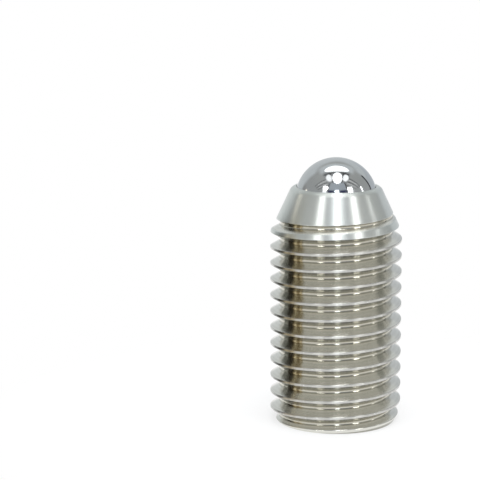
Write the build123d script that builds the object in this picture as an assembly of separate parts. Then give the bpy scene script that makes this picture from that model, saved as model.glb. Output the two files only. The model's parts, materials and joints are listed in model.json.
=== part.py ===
from build123d import *
from math import radians, sqrt, tan
import os

# Ball plunger: a threaded stainless sleeve that holds a ball and the spring behind it.
# Frame: millimetres, +Z along the axis towards the ball, origin at the centre of the rear face.

# Thread: metric coarse, right hand, with a 60 degree form
thread_diameter = 16.0
thread_pitch = 2.0
flank_angle = 30.0  # each flank, from a plane across the axis
first_crest_height = 0.6  # of the crest where it first passes over +X

# Sleeve
sleeve_length = 29.0  # rear face to the top of the lip
nose_half_angle = 25.0  # side of the nose cone, from the axis
lip_wall = 0.6  # at the top of the lip, from the mouth to where the cone would end
lip_flat = 0.06  # flat ring left between the mouth and the lip's rounding
foot_chamfer_angle = 30.0  # from the axis
foot_chamfer_width = 0.75  # radial

# Ball and its seat
ball_diameter = 10.0
ball_protrusion = 3.5  # out of the lip
ball_clearance = 0.05  # radial, in the bore and under the lip

# Hexagon socket in the rear face
socket_across_flats = 8.0
socket_depth = 5.0
countersink_margin = 0.1  # radial, outside the corners of the hexagon
countersink_angle = 60.0  # from the axis
drill_point_angle = 59.0  # of the pilot hole, from the axis
floor_thickness = 2.0  # between the pilot hole's point and the bore

# Compression spring, as it sits behind the ball at rest
wire_diameter = 1.4
spring_clearance = 0.2  # radial, in the bore
active_turns = 5
end_turn_gap = 0.05  # between the wire of an end turn and the turn next to it
tip_thickness = 0.35  # of the wire's tips, after the ends are ground flat
seat_gap = 0.03  # at each end of the spring, to the bore's floor and to the ball
joint_swell = 0.02  # radial, where an end turn meets the active turns

# Worked out from the sizes above
thread_radius = thread_diameter / 2
crest_width = thread_pitch / 8
root_radius = thread_radius - 17 / 24 * thread_pitch * sqrt(3) / 2
ball_radius = ball_diameter / 2
ball_centre_height = sleeve_length + ball_protrusion - ball_radius
bore_radius = ball_radius + ball_clearance
mouth_radius = sqrt(bore_radius**2 - (sleeve_length - ball_centre_height) ** 2)
cone_top_radius = mouth_radius + lip_wall
socket_corner_radius = socket_across_flats / sqrt(3)
pilot_radius = socket_across_flats / 2
pilot_point_length = pilot_radius / tan(radians(drill_point_angle))
bore_floor_height = socket_depth + pilot_point_length + floor_thickness
wire_radius = wire_diameter / 2
coil_radius = bore_radius - spring_clearance - wire_radius


def groove_half_width(radius):
    """Half the width of the thread groove at a radius."""
    return (thread_pitch - crest_width) / 2 - (thread_radius - radius) * tan(radians(flank_angle))


def threaded_bar():
    """The threaded stock that the sleeve is turned from, longer than the sleeve at both ends."""
    outer_radius = thread_radius + crest_width / 4
    start = first_crest_height - 3 / 2 * thread_pitch
    path = Helix(
        pitch=thread_pitch,
        height=sleeve_length - start,
        radius=thread_radius,
        center=(0, 0, start),
    )
    section = Polygon(
        (root_radius, -groove_half_width(root_radius)),
        (outer_radius, -groove_half_width(outer_radius)),
        (outer_radius, groove_half_width(outer_radius)),
        (root_radius, groove_half_width(root_radius)),
        align=None,
    )
    groove = sweep(sections=Pos(0, 0, start) * (Plane.XZ * section), path=path, is_frenet=True)
    bar_start = start - 2 * thread_pitch
    bar = Pos(0, 0, bar_start) * Cylinder(
        thread_radius,
        sleeve_length + 2 * thread_pitch - bar_start,
        align=(Align.CENTER, Align.CENTER, Align.MIN),
    )
    return bar - groove


def turned_form():
    """The space between the cuts of the lathe: foot chamfer, nose cone, lip, bore and seat."""
    clear_radius = thread_radius + crest_width
    lip_corner = (cone_top_radius, sleeve_length)
    outline = Polygon(
        (0, 0),
        (thread_radius - foot_chamfer_width, 0),
        (clear_radius, (foot_chamfer_width + crest_width) / tan(radians(foot_chamfer_angle))),
        (clear_radius, sleeve_length - (clear_radius - cone_top_radius) / tan(radians(nose_half_angle))),
        lip_corner,
        (0, sleeve_length),
        align=None,
    )
    lip_rounding = (lip_wall - lip_flat) / tan(radians(90 - nose_half_angle) / 2)
    outline = fillet(outline.vertices().sort_by_distance(lip_corner)[0], lip_rounding)
    bore = Pos(0, bore_floor_height) * Rectangle(
        2 * bore_radius,
        ball_centre_height - bore_floor_height,
        align=(Align.CENTER, Align.MIN),
    )
    seat = Pos(0, ball_centre_height) * Circle(bore_radius)
    return revolve(Plane.XZ * (outline - bore - seat), axis=Axis.Z)


def hexagon_socket():
    """The space for a hexagon key, with its countersink and the point of its pilot hole."""
    mouth_edge = socket_corner_radius + countersink_margin
    countersink = Cone(
        bottom_radius=mouth_edge,
        top_radius=pilot_radius,
        height=(mouth_edge - pilot_radius) / tan(radians(countersink_angle)),
        align=(Align.CENTER, Align.CENTER, Align.MIN),
    )
    hexagon = extrude(RegularPolygon(pilot_radius, 6, major_radius=False), socket_depth)
    pilot_point = Pos(0, 0, socket_depth) * Cone(
        bottom_radius=pilot_radius,
        top_radius=0,
        height=pilot_point_length,
        align=(Align.CENTER, Align.CENTER, Align.MIN),
    )
    return countersink + hexagon + pilot_point


def threaded_body():
    """The sleeve, one turned piece."""
    return (threaded_bar() & turned_form()) - hexagon_socket()


def coil(start_height, end_height, turns):
    """A stretch of the spring's wire, which starts and ends over +X."""
    path = Helix(
        pitch=(end_height - start_height) / turns,
        height=end_height - start_height,
        radius=coil_radius,
        center=(0, 0, start_height),
    )
    section = Plane(origin=path @ 0, z_dir=path % 0) * Circle(wire_radius)
    return sweep(sections=section, path=path, is_frenet=True)


def compression_spring():
    """The coil spring between the bore's floor and the ball, with closed, ground ends."""
    flat_radius = coil_radius - wire_radius
    bottom = bore_floor_height + seat_gap
    top = ball_centre_height - sqrt(ball_radius**2 - flat_radius**2) - seat_gap
    tip_depth = wire_radius - tip_thickness
    end_rise = wire_diameter + end_turn_gap
    first_joint = bottom - tip_depth + end_rise
    last_joint = top + tip_depth - end_rise
    ground_off = Cylinder(2 * coil_radius, 2 * wire_diameter)
    joint = Sphere(wire_radius + joint_swell)
    spring = coil(bottom - tip_depth, first_joint, 1) - Pos(0, 0, bottom - wire_diameter) * ground_off
    spring += Pos(coil_radius, 0, first_joint) * joint
    spring += coil(first_joint, last_joint, active_turns)
    spring += Pos(coil_radius, 0, last_joint) * joint
    spring += coil(last_joint, top + tip_depth, 1) - Pos(0, 0, top + wire_diameter) * ground_off
    return spring


def detent_ball():
    """The ball, held under the lip."""
    return Pos(0, 0, ball_centre_height) * Sphere(ball_radius)


os.makedirs("parts", exist_ok=True)
for make_piece in (threaded_body, compression_spring, detent_ball):
    export_step(make_piece(), f"parts/{make_piece.__name__}.step")
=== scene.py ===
"""A ball plunger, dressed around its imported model.

The object is a threaded stainless sleeve that holds a ball under its lip, with a spring behind the ball.
Lengths are metres, +Z runs along the axis towards the ball, and the origin is the centre of the rear face.
"""

import json
import logging
import math
from collections.abc import Mapping, Sequence
from dataclasses import dataclass, field
from enum import Enum

import bmesh
import bpy
import numpy as np
from mathutils import Matrix, Vector


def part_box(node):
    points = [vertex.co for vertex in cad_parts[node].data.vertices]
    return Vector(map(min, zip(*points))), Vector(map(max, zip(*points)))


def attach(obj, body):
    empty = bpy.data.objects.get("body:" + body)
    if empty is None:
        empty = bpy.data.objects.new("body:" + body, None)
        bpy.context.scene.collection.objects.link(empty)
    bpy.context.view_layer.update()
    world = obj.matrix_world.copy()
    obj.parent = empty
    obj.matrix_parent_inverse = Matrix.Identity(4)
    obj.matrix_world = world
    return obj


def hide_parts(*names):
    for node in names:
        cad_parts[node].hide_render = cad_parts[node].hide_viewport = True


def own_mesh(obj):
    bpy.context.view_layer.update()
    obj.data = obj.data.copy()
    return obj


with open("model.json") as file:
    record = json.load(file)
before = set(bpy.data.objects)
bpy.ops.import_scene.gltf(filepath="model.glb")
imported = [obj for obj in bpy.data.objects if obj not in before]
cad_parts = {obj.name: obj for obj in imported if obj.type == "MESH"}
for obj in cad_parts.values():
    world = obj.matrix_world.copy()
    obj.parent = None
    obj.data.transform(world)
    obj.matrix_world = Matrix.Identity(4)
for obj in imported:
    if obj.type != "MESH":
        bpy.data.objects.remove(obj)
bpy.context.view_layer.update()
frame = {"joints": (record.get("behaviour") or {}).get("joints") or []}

LOG = logging.getLogger("plunger")
MM = 0.001
WELD_DISTANCE = 0.001 * MM

Tree = bpy.types.NodeTree
Socket = bpy.types.NodeSocket
Outputs = bpy.types.bpy_prop_collection
Material = bpy.types.Material
Piece = bpy.types.Object
Operand = Socket | float | int | bool | Sequence[float] | Material
Inputs = Mapping[str | int, Operand]
Kinds = Mapping[str, "SocketKind"]
Colour = tuple[float, float, float]
Edge = tuple[float, float]
Point = tuple[float, float]
Ring = tuple[np.ndarray, np.ndarray]

WHITE: Colour = (1.0, 1.0, 1.0)


# ---- node trees


class TreeKind(Enum):
    """The two kinds of node tree that are built here."""

    GEOMETRY = "GeometryNodeTree"
    SHADER = "ShaderNodeTree"


class SocketKind(Enum):
    """The kinds of socket that a group shows."""

    GEOMETRY = "NodeSocketGeometry"
    FLOAT = "NodeSocketFloat"
    INTEGER = "NodeSocketInt"
    VECTOR = "NodeSocketVector"
    MATERIAL = "NodeSocketMaterial"


class Bench:
    """Places nodes in one tree and joins them, for geometry and for shaders alike."""

    def __init__(self, tree: Tree) -> None:
        """Starts work on a tree."""
        self.tree = tree

    def feed(self, socket: Socket, operand: Operand) -> None:
        """Joins a socket to another one, or sets its plain value.

        Args:
            socket: The input to feed.
            operand: An output socket or a plain value, which is three numbers for a colour.
        """
        if isinstance(operand, Socket):
            self.tree.links.new(operand, socket)
        elif socket.type == "RGBA":
            socket.default_value = (*operand, 1.0)
        else:
            socket.default_value = operand

    def node(self, kind: str, inputs: Inputs | None = None, **settings: object) -> bpy.types.Node:
        """Places a node.

        Args:
            kind: The node's type name.
            inputs: What feeds its inputs, by name or number.
            **settings: The node's own options.

        Returns:
            The new node.
        """
        new = self.tree.nodes.new(kind)
        for option, value in settings.items():
            setattr(new, option, value)
        for key, operand in (inputs or {}).items():
            self.feed(new.inputs[key], operand)
        return new

    def first(self, kind: str, inputs: Inputs | None = None, **settings: object) -> Socket:
        """Places a node in the same way, and gives its first output."""
        return self.node(kind, inputs, **settings).outputs[0]

    def math(self, operation: str, *operands: Operand) -> Socket:
        """Places a Math node, and gives its result."""
        return self.first("ShaderNodeMath", dict(enumerate(operands)), operation=operation)

    def rise(self, value: Operand, start: float, end: float, low: float = 0.0, high: float = 1.0) -> Socket:
        """Maps a value smoothly from the range between start and end to that between low and high."""
        inputs = {"Value": value, "From Min": start, "From Max": end, "To Min": low, "To Max": high}
        return self.first("ShaderNodeMapRange", inputs, interpolation_type="SMOOTHSTEP")

    def mix(self, share: Operand, start: Operand, end: Operand) -> Socket:
        """Mixes two numbers."""
        return self.node("ShaderNodeMix", {0: share, 2: start, 3: end}, data_type="FLOAT").outputs[0]

    def blend(self, share: Operand, start: Operand, end: Operand) -> Socket:
        """Mixes two colours."""
        return self.node("ShaderNodeMix", {0: share, 6: start, 7: end}, data_type="RGBA").outputs[2]

    def split(self, vector: Operand) -> Outputs:
        """Gives the X, Y and Z of a vector."""
        return self.node("ShaderNodeSeparateXYZ", {"Vector": vector}).outputs

    def scaled(self, vector: Operand, factor: Operand) -> Socket:
        """Multiplies a vector or a colour by a number."""
        return self.first("ShaderNodeVectorMath", {0: vector, "Scale": factor}, operation="SCALE")

    def noise(self, place: Operand, scale: Operand, detail: float) -> Socket:
        """Gives a noise around 0.5 that fills the room."""
        return self.first("ShaderNodeTexNoise", {"Vector": place, "Scale": scale, "Detail": detail})

    def line_noise(self, place: Operand, detail: float) -> Socket:
        """Gives a noise around 0.5 that changes along a line."""
        inputs = {"W": place, "Scale": 1.0, "Detail": detail}
        return self.first("ShaderNodeTexNoise", inputs, noise_dimensions="1D")


def placed(name: str, data: bpy.types.ID) -> Piece:
    """Places an object in the scene.

    Args:
        name: The object's name.
        data: Its mesh, lamp or camera.

    Returns:
        The object.
    """
    new = bpy.data.objects.new(name, data)
    bpy.context.scene.collection.objects.link(new)
    return new


class Group(Bench):
    """A node group under construction, with named inputs and outputs."""

    def __init__(self, name: str, kind: TreeKind, inputs: Kinds, outputs: Kinds) -> None:
        """Makes an empty group with its sockets.

        Args:
            name: The group's name.
            kind: Geometry or shader.
            inputs: The kind of each named input.
            outputs: The kind of each named output.
        """
        super().__init__(bpy.data.node_groups.new(name, kind.value))
        for way, sockets in (("INPUT", inputs), ("OUTPUT", outputs)):
            for socket, socket_kind in sockets.items():
                self.tree.interface.new_socket(socket, in_out=way, socket_type=socket_kind.value)
        self.given = self.node("NodeGroupInput").outputs
        self.result = self.node("NodeGroupOutput").inputs


class PieceTree(Group):
    """A geometry tree that makes a whole piece, with a named input for each of its values."""

    def __init__(self, name: str, values: Mapping[str, float | Material]) -> None:
        """Makes the empty tree.

        Args:
            name: The tree's name.
            values: The value of each input; one of them is the Finish.
        """
        plain = {float: SocketKind.FLOAT, int: SocketKind.INTEGER}
        kinds = {key: plain.get(type(value), SocketKind.MATERIAL) for key, value in values.items()}
        whole = {"Geometry": SocketKind.GEOMETRY}
        super().__init__(name, TreeKind.GEOMETRY, whole | kinds, whole)
        self.values = values

    def moved(self, mesh: Socket, place: Socket) -> Socket:
        """Moves the points of a mesh or a curve."""
        return self.first("GeometryNodeSetPosition", {"Geometry": mesh, "Position": place})

    def position(self) -> Outputs:
        """Gives the X, Y and Z of each point."""
        return self.split(self.first("GeometryNodeInputPosition"))

    def around(self, mesh: Socket, angle: Operand, radius: Operand, height: Operand) -> Socket:
        """Lays a mesh or a curve round the axis.

        Args:
            mesh: What is laid.
            angle: The angle of each point round the axis, from +X.
            radius: Its distance from the axis.
            height: Its height along the axis.

        Returns:
            The mesh or curve in its place.
        """
        across = self.math("MULTIPLY", radius, self.math("COSINE", angle))
        along = self.math("MULTIPLY", radius, self.math("SINE", angle))
        return self.moved(mesh, self.first("ShaderNodeCombineXYZ", {0: across, 1: along, 2: height}))

    def make(self, name: str, mesh: Socket, base: bpy.types.Mesh) -> Piece:
        """Ends the tree with a mesh that is smooth and has its finish, and keeps the result.

        Args:
            name: The name of the finished piece.
            mesh: The mesh.
            base: The plain mesh that the tree starts from, which is used up.

        Returns:
            A piece at the origin that holds the result as a plain mesh.
        """
        smooth = self.first("GeometryNodeSetShadeSmooth", {"Geometry": mesh})
        real = self.first("GeometryNodeRealizeInstances", {"Geometry": smooth})
        dressed = {"Geometry": real, "Material": self.given["Finish"]}
        self.feed(self.result["Geometry"], self.first("GeometryNodeSetMaterial", dressed))
        worker = placed(name + "_work", base)
        modifier = worker.modifiers.new("shape", "NODES")
        modifier.node_group = self.tree
        for item in self.tree.interface.items_tree:
            if item.name in self.values:
                modifier[item.identifier] = self.values[item.name]
        graph = bpy.context.evaluated_depsgraph_get()
        result = bpy.data.meshes.new_from_object(worker.evaluated_get(graph))
        result.name = name
        bpy.data.objects.remove(worker)
        bpy.data.meshes.remove(base)
        return placed(name, result)


# ---- finishes


def fine_grain() -> Tree:
    """Builds the even, very fine unevenness that every finish has.

    Returns:
        A shader group that gives a value around 0.5 and a second, broader one.
    """
    broad_share = 0.12
    inputs = {"Vector": SocketKind.VECTOR, "Scale": SocketKind.FLOAT}
    outputs = {"Fine": SocketKind.FLOAT, "Broad": SocketKind.FLOAT}
    group = Group("fine_grain", TreeKind.SHADER, inputs, outputs)
    place, scale = group.given["Vector"], group.given["Scale"]
    group.feed(group.result["Fine"], group.noise(place, scale, 2.0))
    group.feed(group.result["Broad"], group.noise(place, group.math("MULTIPLY", scale, broad_share), 3.0))
    return group.tree


class Cover(Bench):
    """A material under construction, on Object coordinates."""

    def __init__(self, name: str) -> None:
        """Makes a material whose tree holds only the coordinates.

        Args:
            name: The material's name.
        """
        self.material = bpy.data.materials.new(name)
        self.material.use_nodes = True
        self.material.node_tree.nodes.clear()
        super().__init__(self.material.node_tree)
        self.place = self.node("ShaderNodeTexCoord").outputs["Object"]

    def end(self, surface: Socket) -> Material:
        """Ends the tree, and gives the material."""
        self.node("ShaderNodeOutputMaterial", {"Surface": surface})
        return self.material

    def glow(self, colour: Operand) -> Socket:
        """Gives a plain glow."""
        return self.first("ShaderNodeEmission", {"Color": colour, "Strength": 1.0})

    def bump(self, height: Operand, depth: float, **more: Operand) -> Socket:
        """Gives the normal of a rough surface; a strength and a first normal may be added."""
        inputs = {"Height": height, "Distance": depth, "Strength": 1.0, **more}
        return self.first("ShaderNodeBump", inputs)

    def grain(self, group: Tree, scale: float) -> tuple[Socket, Socket]:
        """Places the fine grain, and gives its fine and its broad value."""
        node = self.node("ShaderNodeGroup", {"Vector": self.place, "Scale": scale}, node_tree=group)
        return node.outputs["Fine"], node.outputs["Broad"]

    def metal(self, inputs: Inputs) -> Material:
        """Ends the tree with a metal that has these inputs, and gives the material."""
        return self.end(self.first("ShaderNodeBsdfPrincipled", {"Metallic": 1.0, **inputs}))


@dataclass(frozen=True)
class TurnedSteel:
    """Bright turned stainless steel: neutral on the nose, and down in the thread warmed as a painted
    reflection of light bounced between the flanks, with painted shade on the lower flanks and in the root and
    painted glints on the crests.
    """

    nose_colour: Colour = (0.80, 0.83, 0.80)
    # painted reflection: the upper flanks are tinted warmer than the nose, for light bounced between the
    # flanks
    upper_flank_bounce_colour: Colour = (0.80, 0.79, 0.735)
    # painted shade: the lower flanks, which face down, are much darker
    lower_flank_shade_colour: Colour = (0.43, 0.425, 0.375)
    # painted shade: darker and warmer down in the root between the flanks
    root_shade_colour: Colour = (0.60, 0.58, 0.50)
    # the crest's colour, and painted highlights: bright glints scattered along the crests for light caught by
    # small dents
    crest_colour: Colour = (0.67, 0.66, 0.63)
    glint_colour: Colour = (0.93, 0.93, 0.91)
    thread_edge: Edge = (0.02 * MM, 0.10 * MM)  # how far under the cone the thread's look sets in
    root_edge: Edge = (1.02 * MM, 1.16 * MM)  # how far under the crests the root sets in
    crest_edge: Edge = (0.10 * MM, 0.01 * MM)
    lower_flank_edge: Edge = (0.56, 0.62)  # 0 and 1 are on a crest, and 0.5 is in the root between them
    tone_edge: Edge = (0.4, 1.6)
    least_tone: float = 0.90
    nose_roughness: float = 0.36
    thread_roughness: float = 0.17
    crest_roughness: float = 0.30
    roughness_change: float = 0.06
    nose_directional_share: float = 0.90
    thread_directional_share: float = 0.98
    direction: float = 0.25
    mark_rings: float = 40000.0
    mark_waver: float = 1.5
    mark_waver_scale: float = 180.0
    mark_depth: float = 0.00005 * MM
    broad_mark_share: float = 0.23
    broad_mark_edge: Edge = (0.3, 0.7)
    grain_scale: float = 9000.0
    grain_depth: float = 0.00008 * MM
    glint_scale: float = 5200.0
    glint_edge: Edge = (0.62, 0.70)

    def _marks(self, cover: Cover, cut: Socket) -> tuple[Socket, Socket]:
        """Places the fine rings that a turning tool leaves.

        Args:
            cover: The material.
            cut: The place along the cut.

        Returns:
            The height and the tone of the rings.
        """
        slow = cover.noise(cover.place, self.mark_waver_scale, 1.0)
        wander = cover.math("MULTIPLY", slow, self.mark_waver)
        along = cover.math("MULTIPLY_ADD", cut, self.mark_rings, wander)
        broad = cover.line_noise(cover.math("MULTIPLY", along, self.broad_mark_share), 1.0)
        return cover.line_noise(along, 2.0), cover.rise(broad, *self.broad_mark_edge)

    def material(self, grain: Tree, sleeve: "ThreadedSleeve") -> Material:
        """Builds the sleeve's material.

        Args:
            grain: The group of the fine grain.
            sleeve: The sleeve, for the sizes that place the finish.

        Returns:
            The material.
        """
        cover = Cover("turned_steel")
        calc, rise, at = cover.math, cover.rise, cover.split(cover.place)
        squares = calc("MULTIPLY_ADD", at["X"], at["X"], calc("MULTIPLY", at["Y"], at["Y"]))
        across = calc("POWER", squares, 0.5)
        below = calc("SUBTRACT", sleeve.cone_start, at["Z"])
        cone = calc("MULTIPLY_ADD", below, math.tan(sleeve.nose_angle), sleeve.thread_radius)
        under_cone = rise(calc("SUBTRACT", cone, across), *self.thread_edge)
        in_thread = calc("MULTIPLY", under_cone, calc("LESS_THAN", at["Z"], sleeve.nose_joint))
        depth = calc("SUBTRACT", sleeve.thread_radius, across)
        on_crest = rise(depth, *self.crest_edge)
        turned = calc("DIVIDE", calc("ARCTAN2", at["Y"], at["X"]), math.tau)
        turns = calc("DIVIDE", calc("SUBTRACT", at["Z"], sleeve.first_crest), sleeve.pitch)
        phase = calc("FRACT", calc("SUBTRACT", turns, turned))

        fine, broad = cover.grain(grain, self.grain_scale)
        mark_height, mark_tone = self._marks(cover, cover.mix(in_thread, at["Z"], across))
        # where the crests get their painted glints
        glints = rise(cover.noise(cover.place, self.glint_scale, 1.0), *self.glint_edge)
        # painted light and shade: the warm upper flank colour, then the darker lower flank and root colours
        lit_and_shaded_flanks = (self.upper_flank_bounce_colour, self.lower_flank_shade_colour)
        flank = cover.blend(rise(phase, *self.lower_flank_edge), *lit_and_shaded_flanks)
        flank = cover.blend(rise(depth, *self.root_edge), flank, self.root_shade_colour)
        colour = cover.blend(in_thread, self.nose_colour, flank)
        crest = cover.blend(glints, self.crest_colour, self.glint_colour)
        colour = cover.blend(calc("MULTIPLY", on_crest, in_thread), colour, crest)
        tone = calc("ADD", calc("MULTIPLY", mark_tone, in_thread), broad)

        roughness = rise(in_thread, 0.0, 1.0, self.nose_roughness, self.thread_roughness)
        roughness = cover.mix(on_crest, roughness, self.crest_roughness)
        change = calc("MULTIPLY_ADD", broad, self.roughness_change, -self.roughness_change / 2)
        marks = cover.bump(mark_height, self.mark_depth, Strength=in_thread)
        shares = (self.nose_directional_share, self.thread_directional_share)
        inputs = {
            "Base Color": cover.scaled(colour, rise(tone, *self.tone_edge, self.least_tone, 1.0)),
            "Roughness": calc("ADD", roughness, change),
            "Anisotropic": rise(in_thread, 0.0, 1.0, *shares),
            "Anisotropic Rotation": self.direction,
            "Tangent": cover.first("ShaderNodeTangent", direction_type="RADIAL", axis="Z"),
            "Normal": cover.bump(fine, self.grain_depth, Normal=marks),
        }
        return cover.metal(inputs)


@dataclass(frozen=True)
class GrainedSteel:
    """Steel with one colour and an even grain."""

    name: str
    colour: Colour
    least_tone: float
    roughness_range: Edge
    grain_scale: float
    grain_depth: float
    tone_edge: Edge = (0.3, 0.7)
    roughness_edge: Edge = (0.25, 0.75)

    def material(self, grain: Tree) -> Material:
        """Builds the material.

        Args:
            grain: The group of the fine grain.

        Returns:
            The material.
        """
        cover = Cover(self.name)
        fine, broad = cover.grain(grain, self.grain_scale)
        tone = cover.rise(broad, *self.tone_edge, self.least_tone, 1.0)
        inputs = {
            "Base Color": cover.scaled(self.colour, tone),
            "Roughness": cover.rise(broad, *self.roughness_edge, *self.roughness_range),
            "Normal": cover.bump(fine, self.grain_depth),
        }
        return cover.metal(inputs)


@dataclass(frozen=True)
class PolishedSteel(GrainedSteel):
    """The hardened ball: lapped to a mirror, with a trace of polishing."""

    name: str = "polished_steel"
    colour: Colour = (0.64, 0.66, 0.67)
    least_tone: float = 0.94
    roughness_range: Edge = (0.07, 0.12)
    grain_scale: float = 4200.0
    grain_depth: float = 0.00012 * MM


@dataclass(frozen=True)
class DrawnWire(GrainedSteel):
    """Cold drawn spring wire: satin grey with a faint even grain."""

    name: str = "drawn_wire"
    colour: Colour = (0.50, 0.49, 0.47)
    least_tone: float = 0.82
    roughness_range: Edge = (0.28, 0.40)
    grain_scale: float = 5200.0
    grain_depth: float = 0.0006 * MM


# ---- the sleeve


ROWS_PER_HALF_PITCH = 13
# Which row, counted from a crest, lies at which share of the way from the crest to the root.
CROWDED_ROWS = ((1, 0.085), (5, 0.165), (8, 0.75))


class ThreadTree(PieceTree):
    """The geometry tree that lays the threaded skin round the sleeve."""

    def radius(self, angle: Operand, height: Operand) -> Socket:
        """Gives the skin's distance from the axis.

        Args:
            angle: The angle round the axis.
            height: The height along it.

        Returns:
            The distance.
        """
        calc, size, rounding = self.math, self.given, self.given["Root Rounding"]
        climb = calc("MULTIPLY", calc("DIVIDE", angle, math.tau), size["Pitch"])
        lead = calc("SUBTRACT", calc("SUBTRACT", height, size["First Crest"]), climb)
        half_pitch = calc("MULTIPLY", size["Pitch"], 0.5)
        from_crest = calc("PINGPONG", lead, half_pitch)
        past_edge = calc("SUBTRACT", size["Crest Half Width"], from_crest)
        flank = calc("MULTIPLY_ADD", past_edge, size["Flank Slope"], size["Thread Radius"])
        ridge = calc("SMOOTH_MIN", flank, size["Thread Radius"], size["Corner Rounding"])
        from_root = calc("SUBTRACT", half_pitch, from_crest)
        squares = calc("MULTIPLY", rounding, rounding), calc("MULTIPLY", from_root, from_root)
        left_over = calc("MAXIMUM", calc("SUBTRACT", *squares), 0.0)
        sag = calc("SUBTRACT", rounding, calc("SQRT", left_over))
        hollow = calc("ADD", size["Root Radius"], sag)
        form = self.mix(calc("LESS_THAN", from_root, size["Root Half Width"]), ridge, hollow)
        under_cone = calc("SUBTRACT", size["Cone Start"], height)
        cone = calc("MULTIPLY_ADD", under_cone, size["Cone Slope"], size["Thread Radius"])
        foot = calc("MULTIPLY_ADD", height, size["Foot Slope"], size["Foot Radius"])
        return calc("SMOOTH_MIN", form, calc("MINIMUM", cone, foot), size["Corner Rounding"])

    def sheet(self, rows: Operand) -> tuple[Socket, Socket, Socket]:
        """Places a flat sheet of faces, with the sleeve's columns.

        Args:
            rows: The number of rows.

        Returns:
            The sheet, the angle of each point once it is laid round, and its share of the sheet's height.
        """
        along, up = (self.math("ADD", count, 1.0) for count in (self.given["Columns"], rows))
        size = {"Size X": 1.0, "Size Y": 1.0, "Vertices X": along, "Vertices Y": up}
        sheet = self.first("GeometryNodeMeshGrid", size)
        at = self.position()
        angle = self.math("MULTIPLY", self.math("ADD", at["X"], 0.5), math.tau)
        return sheet, angle, self.math("ADD", at["Y"], 0.5)

    def crowded(self, share: Operand) -> Socket:
        """Moves rows towards the corners of the thread form.

        Args:
            share: The share of a pitch, from one crest to the next, in even steps.

        Returns:
            The same share, with more steps at each corner.
        """
        half = self.math("MULTIPLY", self.math("PINGPONG", share, 0.5), 2.0)
        curve = self.node("ShaderNodeFloatCurve", {"Value": half})
        points = curve.mapping.curves[0].points
        for row, place in CROWDED_ROWS:
            points.new(row / ROWS_PER_HALF_PITCH, place)
        for point in points:
            point.handle_type = "VECTOR"
        curve.mapping.update()
        reach = self.math("MULTIPLY", curve.outputs["Value"], 0.5)
        other_side = self.math("MULTIPLY_ADD", reach, -2.0, 1.0)
        return self.math("MULTIPLY_ADD", self.math("GREATER_THAN", share, 0.5), other_side, reach)

    def band(self, bottom: Operand, top: Operand, rows: Operand, crowded: bool) -> Socket:
        """Places a band of skin between two rings, with rows along the helix.

        Args:
            bottom: The height of the lower ring.
            top: The height of the upper ring.
            rows: The number of rows in a pitch.
            crowded: Whether the rows lie closer at the corners of the thread form.

        Returns:
            The band.
        """
        calc, pitch, first_crest = self.math, self.given["Pitch"], self.given["First Crest"]
        below = calc("SUBTRACT", calc("SUBTRACT", bottom, first_crest), pitch)
        start = calc("MULTIPLY_ADD", calc("FLOOR", calc("DIVIDE", below, pitch)), pitch, first_crest)
        turns = calc("CEIL", calc("DIVIDE", calc("SUBTRACT", top, start), pitch))
        sheet, angle, row_share = self.sheet(calc("MULTIPLY", turns, rows))
        row_place = calc("MULTIPLY", row_share, turns)
        share = calc("FRACT", row_place)
        share = self.crowded(share) if crowded else share
        climbed = calc("ADD", calc("ADD", calc("FLOOR", row_place), share), calc("DIVIDE", angle, math.tau))
        free = calc("MULTIPLY_ADD", climbed, pitch, start)
        height = calc("MINIMUM", calc("MAXIMUM", free, bottom), top)
        return self.around(sheet, angle, self.radius(angle, height), height)

    def face(self) -> Socket:
        """Places the rear face, from the countersink's rim out to the thread.

        Returns:
            The face.
        """
        rim = self.given["Rim Radius"]
        sheet, angle, out_share = self.sheet(self.given["Face Rows"])
        width = self.math("SUBTRACT", self.radius(angle, 0.0), rim)
        return self.around(sheet, angle, self.math("MULTIPLY_ADD", width, out_share, rim), 0.0)

    def skin(self) -> Socket:
        """Joins the plain turned surfaces, the bands and the rear face.

        Returns:
            The whole skin.
        """
        given = self.given
        parts = (
            given["Geometry"],
            self.band(0.0, given["Foot Top"], given["Foot Rows"], crowded=False),
            self.band(given["Foot Top"], given["Nose Bottom"], given["Thread Rows"], crowded=True),
            self.band(given["Nose Bottom"], given["Nose Top"], given["Fine Rows"], crowded=False),
            self.face(),
        )
        joined = self.node("GeometryNodeJoinGeometry")
        for part in parts:
            self.feed(joined.inputs["Geometry"], part)
        weld = {"Geometry": joined.outputs["Geometry"], "Distance": given["Weld"]}
        return self.first("GeometryNodeMergeByDistance", weld)


def ring_mesh(name: str, chains: Sequence[Sequence[Ring]], angles: np.ndarray) -> bpy.types.Mesh:
    """Joins chains of rings into a mesh, each ring with one point at each angle.

    Args:
        name: The mesh's name.
        chains: Rings of radius and height, in order along the surface.
        angles: The angles of the columns.

    Returns:
        The mesh.
    """
    points: list[np.ndarray] = []
    faces: list[tuple[int, ...]] = []
    columns = len(angles)
    for chain in chains:
        for ring, (radius, height) in enumerate(chain):
            high = len(points) * columns
            low = high - columns
            points.append(np.column_stack((radius * np.cos(angles), radius * np.sin(angles), height)))
            for column in range(columns if ring else 0):
                following = (column + 1) % columns
                faces.append((low + column, low + following, high + following, high + column))
    mesh = bpy.data.meshes.new(name)
    mesh.from_pydata(np.vstack(points).tolist(), [], faces)
    return mesh


def arc(centre: Point, radius: float, start: float, end: float, steps: int) -> list[Point]:
    """Gives points along an arc of a profile, from one angle to another; 0 is straight out."""
    angles = np.linspace(start, end, steps + 1)
    return [(centre[0] + radius * math.cos(a), centre[1] + radius * math.sin(a)) for a in angles]


def run(start: Point, end: Point, steps: int) -> list[Point]:
    """Gives points along a straight stretch of a profile, without its first."""
    shares = np.linspace(0.0, 1.0, steps + 1)[1:]
    return [(start[0] + (end[0] - start[0]) * s, start[1] + (end[1] - start[1]) * s) for s in shares]


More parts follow.
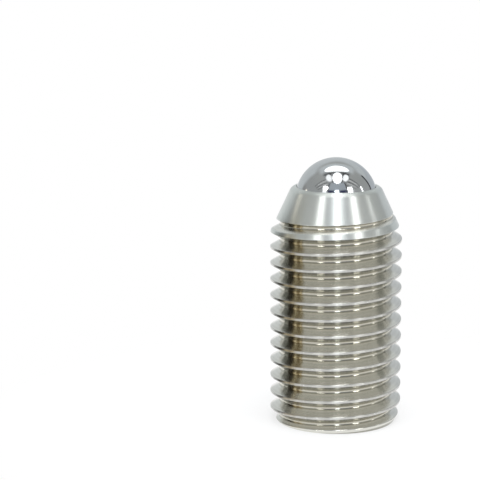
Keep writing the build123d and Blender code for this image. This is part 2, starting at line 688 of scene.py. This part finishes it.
@dataclass
class ThreadedSleeve:
    """The sleeve: turned and threaded in one piece, with a lip over the ball and a socket behind."""

    length: float
    thread_radius: float
    ball_centre: float
    ball_radius: float
    pitch: float = 2.0 * MM
    first_crest: float = 0.6 * MM
    flank_angle: float = math.radians(30.0)
    nose_angle: float = math.radians(25.0)
    lip_wall: float = 0.6 * MM
    lip_flat: float = 0.06 * MM
    foot_angle: float = math.radians(30.0)
    foot_width: float = 0.75 * MM
    ball_clearance: float = 0.05 * MM
    socket_across_flats: float = 8.0 * MM
    socket_depth: float = 5.0 * MM
    countersink_margin: float = 0.1 * MM
    countersink_angle: float = math.radians(60.0)
    drill_angle: float = math.radians(59.0)
    floor_thickness: float = 2.0 * MM
    corner_rounding: float = 0.06 * MM
    crisp_angle: float = math.radians(26.0)
    columns: int = 180
    fine_rows: int = 48
    foot_rows: int = 40
    face_rows: int = 5
    cone_rows: int = 6
    lip_rows: int = 12
    bore_rows: int = 8
    bore_floor_rows: int = 3
    socket_rows: int = 4
    root_radius: float = field(init=False)
    bore_radius: float = field(init=False)
    mouth_radius: float = field(init=False)
    cone_start: float = field(init=False)
    nose_joint: float = field(init=False)
    rim_radius: float = field(init=False)
    pilot_tip: float = field(init=False)

    def __post_init__(self) -> None:
        """Works out the sizes that follow from the others."""
        # The flanks would meet in a sharp triangle; a crest takes off an eighth of its height
        # and the round root a sixth.
        triangle = self.pitch * math.sqrt(3) / 2
        self.root_radius = self.thread_radius - (1 - 1 / 8 - 1 / 6) * triangle
        self.bore_radius = self.ball_radius + self.ball_clearance
        above_centre = self.length - self.ball_centre
        self.mouth_radius = math.sqrt(self.bore_radius**2 - above_centre**2)
        cone_top = self.mouth_radius + self.lip_wall
        self.cone_start = self.length - (self.thread_radius - cone_top) / math.tan(self.nose_angle)
        # The thread has run out under the cone at this height, and the plain cone begins.
        run_out = (self.thread_radius - self.root_radius) / math.tan(self.nose_angle)
        self.nose_joint = self.cone_start + run_out + 4 * self.corner_rounding
        self.rim_radius = self.socket_across_flats / math.sqrt(3) + self.countersink_margin
        self.pilot_tip = self.socket_depth + self.socket_across_flats / 2 / math.tan(self.drill_angle)

    def _plain(self, profile: Sequence[Point]) -> list[Ring]:
        """Turns the points of a profile into plain rings."""
        return [(np.full(self.columns, radius), np.full(self.columns, height)) for radius, height in profile]

    def _mouth_chain(self) -> list[Ring]:
        """Gives the rings from the plain cone over the lip and down the bore to its floor.

        Returns:
            The rings.
        """
        joint_radius = self.thread_radius + (self.cone_start - self.nose_joint) * math.tan(self.nose_angle)
        joint = (joint_radius, self.nose_joint)
        lip_radius = (self.lip_wall - self.lip_flat) / math.tan((math.pi / 2 - self.nose_angle) / 2)
        lip_centre = (self.mouth_radius + self.lip_flat, self.length - lip_radius)
        lip = arc(lip_centre, lip_radius, self.nose_angle, math.pi / 2, self.lip_rows)
        seat_start = math.asin((self.length - self.ball_centre) / self.bore_radius)
        floor = self.pilot_tip + self.floor_thickness
        seat = arc((0.0, self.ball_centre), self.bore_radius, seat_start, 0.0, self.bore_rows)
        bore = run((self.bore_radius, self.ball_centre), (self.bore_radius, floor), self.bore_rows)
        bottom = run((self.bore_radius, floor), (0.0, floor), self.bore_floor_rows)
        return self._plain([joint, *run(joint, lip[0], self.cone_rows), *lip[1:], *seat, *bore, *bottom])

    def _socket_chain(self, angles: np.ndarray) -> list[Ring]:
        """Gives the rings from the countersink's rim down the hexagon to the pilot hole's point.

        Args:
            angles: The angles of the columns.

        Returns:
            The rings.
        """
        flat_radius = self.socket_across_flats / 2
        sixth = math.pi / 3
        wall = flat_radius / np.cos(np.mod(angles, sixth) - sixth / 2)
        wall_top = (self.rim_radius - wall) / math.tan(self.countersink_angle)
        corner = (flat_radius, self.socket_depth)
        shares = np.linspace(0.0, 1.0, self.socket_rows + 1)
        walls = [(wall, wall_top + (self.socket_depth - wall_top) * s) for s in shares]
        point = [corner, *run(corner, (0.0, self.pilot_tip), self.socket_rows)]
        return self._plain([(self.rim_radius, 0.0)]) + walls + self._plain(point)

    def _crisp_edges(self, mesh: bpy.types.Mesh) -> None:
        """Marks the corners of the turned and pressed surfaces, inside the thread, as crisp.

        Args:
            mesh: The sleeve's mesh.
        """
        work = bmesh.new()
        work.from_mesh(mesh)
        bmesh.ops.recalc_face_normals(work, faces=work.faces)
        inner_limit = self.mouth_radius + self.lip_wall / 2
        for edge in work.edges:
            sharp = len(edge.link_faces) == 2 and edge.calc_face_angle(0.0) > self.crisp_angle
            places = [v.co for v in edge.verts]
            inner = all(p.xy.length < inner_limit for p in places)
            rear = all(abs(p.z) < WELD_DISTANCE for p in places)
            edge.smooth = not (sharp and (inner or rear))
        for face in work.faces:
            face.smooth = True
        work.to_mesh(mesh)
        work.free()

    def build(self, finish: Material) -> Piece:
        """Builds the sleeve's skin and dresses it.

        Args:
            finish: The sleeve's material.

        Returns:
            The finished piece.
        """
        angles = np.arange(self.columns) * (math.tau / self.columns)
        base = ring_mesh("turned_surfaces", [self._mouth_chain(), self._socket_chain(angles)], angles)
        root_rounding = self.pitch * math.sqrt(3) / 12
        values = {
            "Columns": self.columns,
            "Fine Rows": self.fine_rows,
            "Thread Rows": 2 * ROWS_PER_HALF_PITCH,
            "Foot Rows": self.foot_rows,
            "Face Rows": self.face_rows,
            "Foot Top": self.pitch,
            "Nose Bottom": self.cone_start - self.pitch / 2,
            "Nose Top": self.nose_joint,
            "Rim Radius": self.rim_radius,
            "Weld": WELD_DISTANCE,
            "Finish": finish,
            "Pitch": self.pitch,
            "First Crest": self.first_crest,
            "Crest Half Width": self.pitch / 16,
            "Thread Radius": self.thread_radius,
            "Root Radius": self.root_radius,
            "Root Rounding": root_rounding,
            "Root Half Width": root_rounding * math.cos(self.flank_angle),
            "Flank Slope": 1 / math.tan(self.flank_angle),
            "Cone Start": self.cone_start,
            "Cone Slope": math.tan(self.nose_angle),
            "Foot Radius": self.thread_radius - self.foot_width,
            "Foot Slope": math.tan(self.foot_angle),
            "Corner Rounding": self.corner_rounding,
        }
        tree = ThreadTree("threaded_skin", values)
        piece = tree.make("sleeve_skin", tree.skin(), base)
        self._crisp_edges(piece.data)
        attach(piece, "sleeve")
        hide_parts("threaded_body")
        return piece


# ---- the ball


@dataclass
class DetentBall:
    """The ball, a hardened sphere that stands out of the lip."""

    radius: float
    centre: float
    divisions: int = 56

    def build(self, finish: Material) -> Piece:
        """Rounds a divided cube into an even sphere, and dresses it.

        Args:
            finish: The ball's material.

        Returns:
            The finished piece.
        """
        values = {"Radius": self.radius, "Height": self.centre, "Divisions": self.divisions, "Finish": finish}
        tree = PieceTree("rounded_ball", values)
        side = tree.math("ADD", tree.given["Divisions"], 1.0)
        vertices = {f"Vertices {axis}": side for axis in "XYZ"}
        cube = tree.first("GeometryNodeMeshCube", {"Size": (2.0, 2.0, 2.0), **vertices})
        at = tree.position()
        spread = {axis: tree.math("TANGENT", tree.math("MULTIPLY", at[axis], math.pi / 4)) for axis in "XYZ"}
        even = tree.first("ShaderNodeCombineXYZ", spread)
        way = tree.first("ShaderNodeVectorMath", {0: even}, operation="NORMALIZE")
        centre = tree.first("ShaderNodeCombineXYZ", {"Z": tree.given["Height"]})
        ends = {0: tree.scaled(way, tree.given["Radius"]), 1: centre}
        ball = tree.moved(cube, tree.first("ShaderNodeVectorMath", ends, operation="ADD"))
        piece = tree.make("ball_skin", ball, bpy.data.meshes.new("ball_base"))
        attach(piece, "ball")
        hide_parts("detent_ball")
        return piece


# ---- the spring


@dataclass
class PressureSpring:
    """The compression spring behind the ball, with closed ends ground flat."""

    bottom: float
    top: float
    outer_radius: float
    travel: float
    wire_radius: float = 0.7 * MM
    tip_thickness: float = 0.35 * MM
    end_turn_gap: float = 0.05 * MM
    active_turns: int = 5
    end_turns: int = 2
    points_per_turn: int = 72
    wire_sides: int = 20

    @staticmethod
    def _wound(tree: PieceTree) -> Socket:
        """Winds the wire and grinds its ends.

        Args:
            tree: The spring's tree.

        Returns:
            The wire.
        """
        calc, given = tree.math, tree.given
        line = tree.first("GeometryNodeCurvePrimitiveLine")
        spaced = tree.first("GeometryNodeResampleCurve", {"Curve": line, "Count": given["Points"]})
        turn = calc("MULTIPLY", tree.first("GeometryNodeSplineParameter"), given["All Turns"])
        past_first = calc("MAXIMUM", calc("SUBTRACT", turn, 1.0), 0.0)
        middle = calc("MINIMUM", past_first, given["Active Turns"])
        ends = calc("ADD", calc("MINIMUM", turn, 1.0), calc("SUBTRACT", past_first, middle))
        height = calc("MULTIPLY_ADD", ends, given["End Rise"], given["Wire Start"])
        height = calc("MULTIPLY_ADD", middle, given["Active Rise"], height)
        wound = tree.around(spaced, calc("MULTIPLY", turn, math.tau), given["Coil Radius"], height)
        ring = {"Resolution": given["Wire Sides"], "Radius": given["Wire Radius"]}
        section = tree.first("GeometryNodeCurvePrimitiveCircle", ring)
        swept = {"Curve": wound, "Profile Curve": section, "Fill Caps": True}
        wire = tree.first("GeometryNodeCurveToMesh", swept)
        at = tree.position()
        held = calc("MINIMUM", calc("MAXIMUM", at["Z"], given["Ground Bottom"]), given["Ground Top"])
        return tree.moved(wire, tree.first("ShaderNodeCombineXYZ", {0: at["X"], 1: at["Y"], 2: held}))

    def build(self, finish: Material) -> Piece:
        """Winds, dresses and seats the spring.

        Args:
            finish: The spring's material.

        Returns:
            The finished piece.
        """
        tip_depth = self.wire_radius - self.tip_thickness
        end_rise = 2 * self.wire_radius + self.end_turn_gap
        all_turns = self.active_turns + self.end_turns
        length = self.top - self.bottom
        values = {
            "Coil Radius": self.outer_radius - self.wire_radius,
            "Wire Radius": self.wire_radius,
            "Wire Start": self.bottom - tip_depth,
            "End Rise": end_rise,
            "Active Rise": (length + 2 * tip_depth - self.end_turns * end_rise) / self.active_turns,
            "Active Turns": float(self.active_turns),
            "All Turns": float(all_turns),
            "Ground Bottom": self.bottom,
            "Ground Top": self.top,
            "Points": all_turns * self.points_per_turn + 1,
            "Wire Sides": self.wire_sides,
            "Finish": finish,
        }
        tree = PieceTree("wound_wire", values)
        piece = tree.make("spring_wire", self._wound(tree), bpy.data.meshes.new("spring_base"))
        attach(piece, "sleeve")
        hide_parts("compression_spring")
        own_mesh(piece)
        return piece


# ---- the studio


def seen_directly(bench: Bench) -> Socket:
    """Tells which rays come from the camera, straight or in a mirror or through glass.

    Args:
        bench: The tree that gets the nodes.

    Returns:
        1 for such a ray.
    """
    rays = bench.node("ShaderNodeLightPath").outputs
    seen = bench.math("MAXIMUM", rays["Is Camera Ray"], rays["Is Glossy Ray"])
    return bench.math("MAXIMUM", seen, rays["Is Transmission Ray"])


def set_on_stage(name: str, work: bmesh.types.BMesh, material: Material, mirrored_only: bool) -> None:
    """Sets up a part of the studio.

    Args:
        name: Its name.
        work: Its shape, which is used up.
        material: Its material.
        mirrored_only: Whether only reflections show it.
    """
    mesh = bpy.data.meshes.new(name)
    work.to_mesh(mesh)
    work.free()
    mesh.materials.append(material)
    part = placed(name, mesh)
    part.visible_camera = not mirrored_only
    part.visible_diffuse = not mirrored_only
    part.visible_shadow = not mirrored_only


class LampShape(Enum):
    """The outlines of the lamps."""

    RECTANGLE = "RECTANGLE"
    ELLIPSE = "ELLIPSE"


class Lamp:
    """A soft lamp that the camera doesn't see."""

    name: str
    level: float
    shape: LampShape = LampShape.RECTANGLE
    colour: Colour = WHITE

    def seat(self, target: Vector) -> tuple[Matrix, float, float]:
        """Gives the lamp's place over a target, and its two sides."""
        raise NotImplementedError

    def build(self, target: Vector) -> None:
        """Hangs the lamp.

        Args:
            target: The middle of the object.
        """
        lamp = bpy.data.lights.new(self.name, "AREA")
        lamp.shape = self.shape.value
        place, lamp.size, lamp.size_y = self.seat(target)
        lamp.energy = self.level * math.pi * lamp.size * lamp.size_y
        lamp.color = self.colour
        holder = placed(self.name, lamp)
        holder.matrix_world = place
        holder.visible_camera = False


@dataclass(frozen=True)
class AimedLamp(Lamp):
    """A lamp aimed at the object; its angles are in degrees, from the front."""

    name: str
    azimuth: float
    elevation: float
    width: float
    height: float
    level: float
    colour: Colour = WHITE
    distance: float = 0.36

    def seat(self, target: Vector) -> tuple[Matrix, float, float]:
        """Gives the lamp's place, width and height.

        Args:
            target: The point that it faces.

        Returns:
            The place, the width and the height.
        """
        around, up = math.radians(self.azimuth), math.radians(self.elevation)
        way = Vector((math.sin(around) * math.cos(up), -math.cos(around) * math.cos(up), math.sin(up)))
        turned = way.to_track_quat("Z", "Y").to_matrix().to_4x4()
        place = Matrix.Translation(target + self.distance * way) @ turned
        return place, self.distance * math.radians(self.width), self.distance * math.radians(self.height)


@dataclass(frozen=True)
class TopLamp(Lamp):
    """A flat lamp over the object; its edges are given as shares of its height over the object."""

    name: str
    left: float
    right: float
    front: float
    back: float
    level: float
    height: float = 0.34
    shape: LampShape = LampShape.ELLIPSE

    def seat(self, target: Vector) -> tuple[Matrix, float, float]:
        """Gives the lamp's place, width and depth.

        Args:
            target: The point that it hangs over.

        Returns:
            The place, the width and the depth.
        """
        middle = Vector(((self.left + self.right) / 2, (self.front + self.back) / 2, 1.0))
        place = Matrix.Translation(target + self.height * middle)
        return place, self.height * (self.right - self.left), self.height * (self.back - self.front)


@dataclass(frozen=True)
class Panel:
    """A panel of the light tent, brighter or darker than the cloth around it.

    A side panel's place and size are in degrees of azimuth and elevation, from the front. Those of
    a top panel are shares of its height over the object, to the right and to the back.
    """

    across: float
    along: float
    half_width: float
    half_depth: float
    edge: float
    colour: Colour

    def laid(self, bench: Bench, across: Socket, along: Socket, under: Operand) -> Socket:
        """Lays the panel over what is there.

        Args:
            bench: The tree that gets the nodes.
            across: Each point's place across.
            along: Its place along.
            under: The colour so far.

        Returns:
            The colour with the panel.
        """
        # An azimuth is measured the shorter way round; no share is as large as half a turn.
        away = bench.math("WRAP", bench.math("SUBTRACT", across, self.across), 180.0, -180.0)
        above = bench.math("SUBTRACT", along, self.along)
        mask = 1.0
        for offset, half in ((away, self.half_width), (above, self.half_depth)):
            off = bench.math("ABSOLUTE", offset)
            inside = bench.rise(off, half - self.edge, half + self.edge, 1.0, 0.0)
            mask = bench.math("MULTIPLY", mask, inside)
        return bench.blend(mask, under, self.colour)


@dataclass(frozen=True)
class Post:
    """A post beside the object, which only its reflections show."""

    name: str
    place: Point
    radius: float
    back_colour: Colour
    bands: tuple[tuple[float, Colour], ...] = ()
    line_colour: Colour = WHITE
    lines: tuple[tuple[float, float], ...] = ()
    height: float = 28.0 * MM
    sides: int = 48
    step: float = 1.0 * MM
    band_edge: float = 0.4 * MM
    line_edge: Edge = (1.6, 0.6)

    def _material(self) -> Material:
        """Builds the post's cover: bands of colour from back to front, and bright zigzag lines.

        Returns:
            The material.
        """
        bench = Cover(self.name)
        at = bench.split(bench.place)
        sway = bench.math("PINGPONG", at["Z"], self.step)
        colour = self.back_colour
        for border, band_colour in self.bands:
            in_front = bench.rise(at["Y"], border + self.band_edge, border - self.band_edge)
            colour = bench.blend(in_front, colour, band_colour)
        for line, half_width in self.lines:
            from_line = bench.math("SUBTRACT", bench.math("ADD", sway, at["Y"]), line)
            borders = (half_width * share for share in self.line_edge)
            on_line = bench.rise(bench.math("ABSOLUTE", from_line), *borders)
            colour = bench.blend(on_line, colour, self.line_colour)
        return bench.end(bench.glow(colour))

    def build(self) -> None:
        """Builds the post."""
        work = bmesh.new()
        bmesh.ops.create_cone(
            work,
            cap_ends=True,
            segments=self.sides,
            radius1=self.radius,
            radius2=self.radius,
            depth=self.height,
            matrix=Matrix.Translation((*self.place, self.height / 2)),
        )
        set_on_stage(self.name, work, self._material(), mirrored_only=True)


@dataclass
class Studio:
    """The pale floor, the light tent, the lamps and the camera."""

    target: Vector
    floor_radius: float = 0.6
    floor_gap: float = 0.02 * MM
    floor_sides: int = 96
    floor_colour: Colour = (0.9, 0.9, 0.9)
    shadow_radius: float = 0.045
    shadow_share: float = 0.35
    fill_colour: Colour = (0.96, 0.98, 1.0)
    fill_level: float = 0.9
    camera_place: Vector = field(default_factory=lambda: Vector((-11.79, -250.0, 71.48)) * MM)
    camera_aim: Vector = field(default_factory=lambda: Vector((-11.68, 0.0, 22.40)) * MM)
    camera_roll: float = math.radians(-0.217)
    camera_lens: float = 157.1
    camera_film: float = 36.0
    camera_near_limit: float = 0.01
    tent_radius: float = 0.5
    tent_divisions: int = 5
    tent_foot: float = -0.02  # as a share of the tent's radius
    top_foot: float = 0.05  # the top panels end here, as a share of the tent's radius
    # The cloth's colour, by its elevation as a share of a quarter turn.
    tent_cloth: tuple[tuple[float, Colour], ...] = (
        (0.0, WHITE),
        (0.03, WHITE),
        (0.07, (0.62, 0.63, 0.65)),
        (0.14, (0.44, 0.45, 0.45)),
        (0.45, (0.44, 0.45, 0.44)),
        (1.0, (0.50, 0.50, 0.48)),
    )
    posts: tuple[Post, ...] = (
        Post(
            "dark_post",
            (-23.4 * MM, -0.9 * MM),
            8.6 * MM,
            (0.25, 0.26, 0.25),
            ((2.4 * MM, (0.035, 0.03, 0.022)), (-2.0 * MM, (0.26, 0.20, 0.11))),
            (0.95, 0.85, 0.62),
            ((-2.9 * MM, 0.4 * MM), (-6.6 * MM, 0.5 * MM)),
        ),
        Post("rear_post", (-24.0 * MM, 11.0 * MM), 4.2 * MM, (0.27, 0.28, 0.27)),
        Post("grey_post", (30.0 * MM, 1.2 * MM), 4.6 * MM, (0.50, 0.51, 0.50)),
    )
    lamps: tuple[Lamp, ...] = (
        AimedLamp("left_low_lamp", -39.2, 27.5, 11.0, 9.0, 1.2),
        AimedLamp("left_high_lamp", -39.2, 36.5, 11.0, 9.0, 9.0),
        AimedLamp("centre_lamp", -0.6, 27.0, 8.6, 12.0, 10.0, (0.88, 0.94, 1.0)),
        AimedLamp("right_lamp", 41.7, 31.0, 10.8, 13.0, 8.5),
        AimedLamp("side_lamp", 82.0, 22.0, 3.5, 14.0, 4.0),
        TopLamp("top_back_lamp", -0.42, 0.46, -0.01, 0.40, 1.1),
        TopLamp("top_middle_lamp", -0.16, 0.22, -0.76, -0.08, 3.3),
        TopLamp("top_left_lamp", -0.48, -0.20, -0.58, -0.12, 0.9),
        TopLamp("top_right_lamp", 0.26, 0.54, -0.56, -0.12, 1.0),
    )
    side_panels: tuple[Panel, ...] = (
        Panel(180.0, 24.0, 60.0, 24.0, 8.0, (0.66, 0.69, 0.70)),
        Panel(2.0, 34.0, 28.0, 20.0, 3.0, (0.46, 0.50, 0.54)),
        Panel(-17.5, 26.0, 12.5, 8.0, 1.5, (0.045, 0.05, 0.11)),
        Panel(20.0, 26.0, 13.0, 8.0, 1.5, (0.045, 0.05, 0.11)),
        Panel(-29.5, 42.0, 1.8, 12.0, 0.8, (0.03, 0.03, 0.035)),
        Panel(32.0, 42.0, 1.8, 13.0, 0.8, (0.03, 0.03, 0.035)),
        Panel(145.0, 12.0, 22.0, 14.0, 4.0, (0.56, 0.59, 0.62)),
        Panel(118.0, 16.0, 2.8, 22.0, 0.8, (0.03, 0.03, 0.035)),
        Panel(-112.0, 12.0, 8.0, 9.0, 5.0, (0.36, 0.36, 0.35)),
        Panel(-101.0, 8.0, 3.0, 9.0, 1.5, (4.0, 3.65, 3.05)),
    )
    top_panels: tuple[Panel, ...] = (
        Panel(0.01, -0.35, 0.53, 0.45, 0.06, (0.34, 0.35, 0.35)),
        Panel(0.02, 0.36, 0.62, 0.26, 0.12, (0.66, 0.69, 0.70)),
        Panel(0.0, -0.06, 0.50, 0.03, 0.02, (0.03, 0.03, 0.03)),
        Panel(-0.225, -0.42, 0.025, 0.36, 0.02, (0.03, 0.03, 0.03)),
        Panel(0.265, -0.42, 0.025, 0.36, 0.02, (0.03, 0.03, 0.03)),
        Panel(-1.05, -0.83, 0.55, 0.03, 0.02, (0.08, 0.08, 0.08)),
        Panel(-0.95, -0.70, 0.45, 0.02, 0.015, (0.85, 0.85, 0.85)),
        Panel(-1.05, -0.59, 0.55, 0.03, 0.02, (0.08, 0.08, 0.08)),
        Panel(-0.83, -0.44, 0.37, 0.02, 0.015, (0.90, 0.90, 0.90)),
        Panel(-0.98, -0.355, 0.52, 0.025, 0.02, (0.12, 0.12, 0.12)),
        Panel(1.07, -0.815, 0.53, 0.025, 0.02, (0.08, 0.08, 0.08)),
        Panel(0.97, -0.64, 0.43, 0.02, 0.015, (0.85, 0.85, 0.85)),
        Panel(1.12, -0.53, 0.58, 0.03, 0.02, (0.08, 0.08, 0.08)),
        Panel(0.92, -0.40, 0.38, 0.02, 0.015, (0.90, 0.90, 0.90)),
        Panel(1.12, -0.295, 0.58, 0.025, 0.02, (0.12, 0.12, 0.12)),
    )

    def _floor(self) -> None:
        """Builds the floor, which is white, keeps the object's shadow and is clear from below."""
        bench = Cover("pale_floor")
        away = bench.node("ShaderNodeVectorMath", {0: bench.place}, operation="LENGTH").outputs["Value"]
        near = bench.rise(away, self.shadow_radius / 2, self.shadow_radius, self.shadow_share, 0.0)
        glow_share = bench.math("MULTIPLY", seen_directly(bench), bench.math("SUBTRACT", 1.0, near))
        cloth = bench.first("ShaderNodeBsdfDiffuse", {"Color": self.floor_colour})
        surface = bench.first("ShaderNodeMixShader", {0: glow_share, 1: cloth, 2: bench.glow(WHITE)})
        clear = bench.first("ShaderNodeBsdfTransparent")
        from_below = bench.node("ShaderNodeNewGeometry").outputs["Backfacing"]
        surface = bench.first("ShaderNodeMixShader", {0: from_below, 1: surface, 2: clear})
        work = bmesh.new()
        bmesh.ops.create_circle(work, cap_ends=True, radius=self.floor_radius, segments=self.floor_sides)
        bmesh.ops.translate(work, verts=work.verts, vec=(0, 0, -self.floor_gap))
        set_on_stage("floor", work, bench.end(surface), mirrored_only=False)

    def _tent_material(self) -> Material:
        """Builds the tent's cloth, as the metal sees it.

        Returns:
            The material.
        """
        bench = Cover("tent_cloth")
        at = bench.split(bench.first("ShaderNodeVectorMath", {0: bench.place}, operation="NORMALIZE"))
        elevation = bench.math("DEGREES", bench.math("ARCSINE", at["Z"]))
        front = bench.math("MULTIPLY", at["Y"], -1.0)
        azimuth = bench.math("DEGREES", bench.math("ARCTAN2", at["X"], front))
        ramp = bench.node("ShaderNodeValToRGB", {"Fac": bench.math("DIVIDE", elevation, 90.0)})
        elements = ramp.color_ramp.elements
        for position, _ in self.tent_cloth[1:-1]:
            elements.new(position)
        for element, (_, cloth_colour) in zip(elements, self.tent_cloth):
            element.color = (*cloth_colour, 1.0)
        overhead = bench.math("MAXIMUM", at["Z"], self.top_foot)
        aside = bench.math("DIVIDE", at["X"], overhead)
        back = bench.math("DIVIDE", at["Y"], overhead)
        colour = ramp.outputs["Color"]
        for panel in self.top_panels:
            colour = panel.laid(bench, aside, back, colour)
        for panel in self.side_panels:
            colour = panel.laid(bench, azimuth, elevation, colour)
        return bench.end(bench.glow(colour))

    def _tent(self) -> None:
        """Builds the tent round the object, which only its reflections show."""
        work = bmesh.new()
        bmesh.ops.create_icosphere(work, subdivisions=self.tent_divisions, radius=self.tent_radius)
        low = [v for v in work.verts if v.co.z < self.tent_foot * self.tent_radius]
        bmesh.ops.delete(work, geom=low, context="VERTS")
        set_on_stage("tent", work, self._tent_material(), mirrored_only=True)

    def _world(self) -> None:
        """Sets the white background and the soft light that fills the room."""
        world = bpy.data.worlds.new("soft_room")
        bpy.context.scene.world = world
        world.use_nodes = True
        world.node_tree.nodes.clear()
        bench = Bench(world.node_tree)
        fill = bench.first("ShaderNodeBackground", {"Color": self.fill_colour, "Strength": self.fill_level})
        white = bench.first("ShaderNodeBackground", {"Color": WHITE, "Strength": 1.0})
        both = bench.first("ShaderNodeMixShader", {0: seen_directly(bench), 1: fill, 2: white})
        bench.node("ShaderNodeOutputWorld", {"Surface": both})

    def _camera(self) -> None:
        """Places the camera in front, a little above the object and a little to its left."""
        camera = bpy.data.cameras.new("camera")
        camera.lens = self.camera_lens
        camera.sensor_width = self.camera_film
        camera.clip_start = self.camera_near_limit
        holder = placed("camera", camera)
        aimed = (self.camera_aim - self.camera_place).to_track_quat("-Z", "Y").to_matrix().to_4x4()
        rolled = aimed @ Matrix.Rotation(self.camera_roll, 4, "Z")
        holder.matrix_world = Matrix.Translation(self.camera_place) @ rolled
        bpy.context.scene.camera = holder

    def build(self) -> None:
        """Builds the whole studio."""
        self._camera()
        self._floor()
        self._tent()
        for post in self.posts:
            post.build()
        self._world()
        for lamp in self.lamps:
            lamp.build(self.target)
        bpy.context.scene.view_settings.view_transform = "Standard"


# ---- making


def report(piece: Piece) -> None:
    """Logs a finished piece and its number of triangles."""
    triangles = sum(len(face.vertices) - 2 for face in piece.data.polygons)
    LOG.info("%s: %d triangles", piece.name, triangles)


def main() -> None:
    """Builds the plunger and its studio."""
    logging.basicConfig(level=logging.INFO, format="%(name)s: %(message)s")
    sleeve_low, sleeve_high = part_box("threaded_body")
    ball_low, ball_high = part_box("detent_ball")
    spring_low, spring_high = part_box("compression_spring")
    press = [joint for joint in frame["joints"] if joint["name"] == "ball_press"][0]

    ball = DetentBall(radius=(ball_high.z - ball_low.z) / 2, centre=(ball_high.z + ball_low.z) / 2)
    sleeve = ThreadedSleeve(
        length=sleeve_high.z,
        thread_radius=sleeve_high.x,
        ball_centre=ball.centre,
        ball_radius=ball.radius,
    )
    spring = PressureSpring(
        bottom=spring_low.z,
        top=spring_high.z,
        outer_radius=spring_high.x,
        travel=max(press["range_m"]),
    )
    grain = fine_grain()
    report(sleeve.build(TurnedSteel().material(grain, sleeve)))
    report(spring.build(DrawnWire().material(grain)))
    report(ball.build(PolishedSteel().material(grain)))
    middle = (sleeve_low + sleeve_high) / 2
    Studio(target=Vector((0, 0, middle.z))).build()


if __name__ == "__main__":
    main()
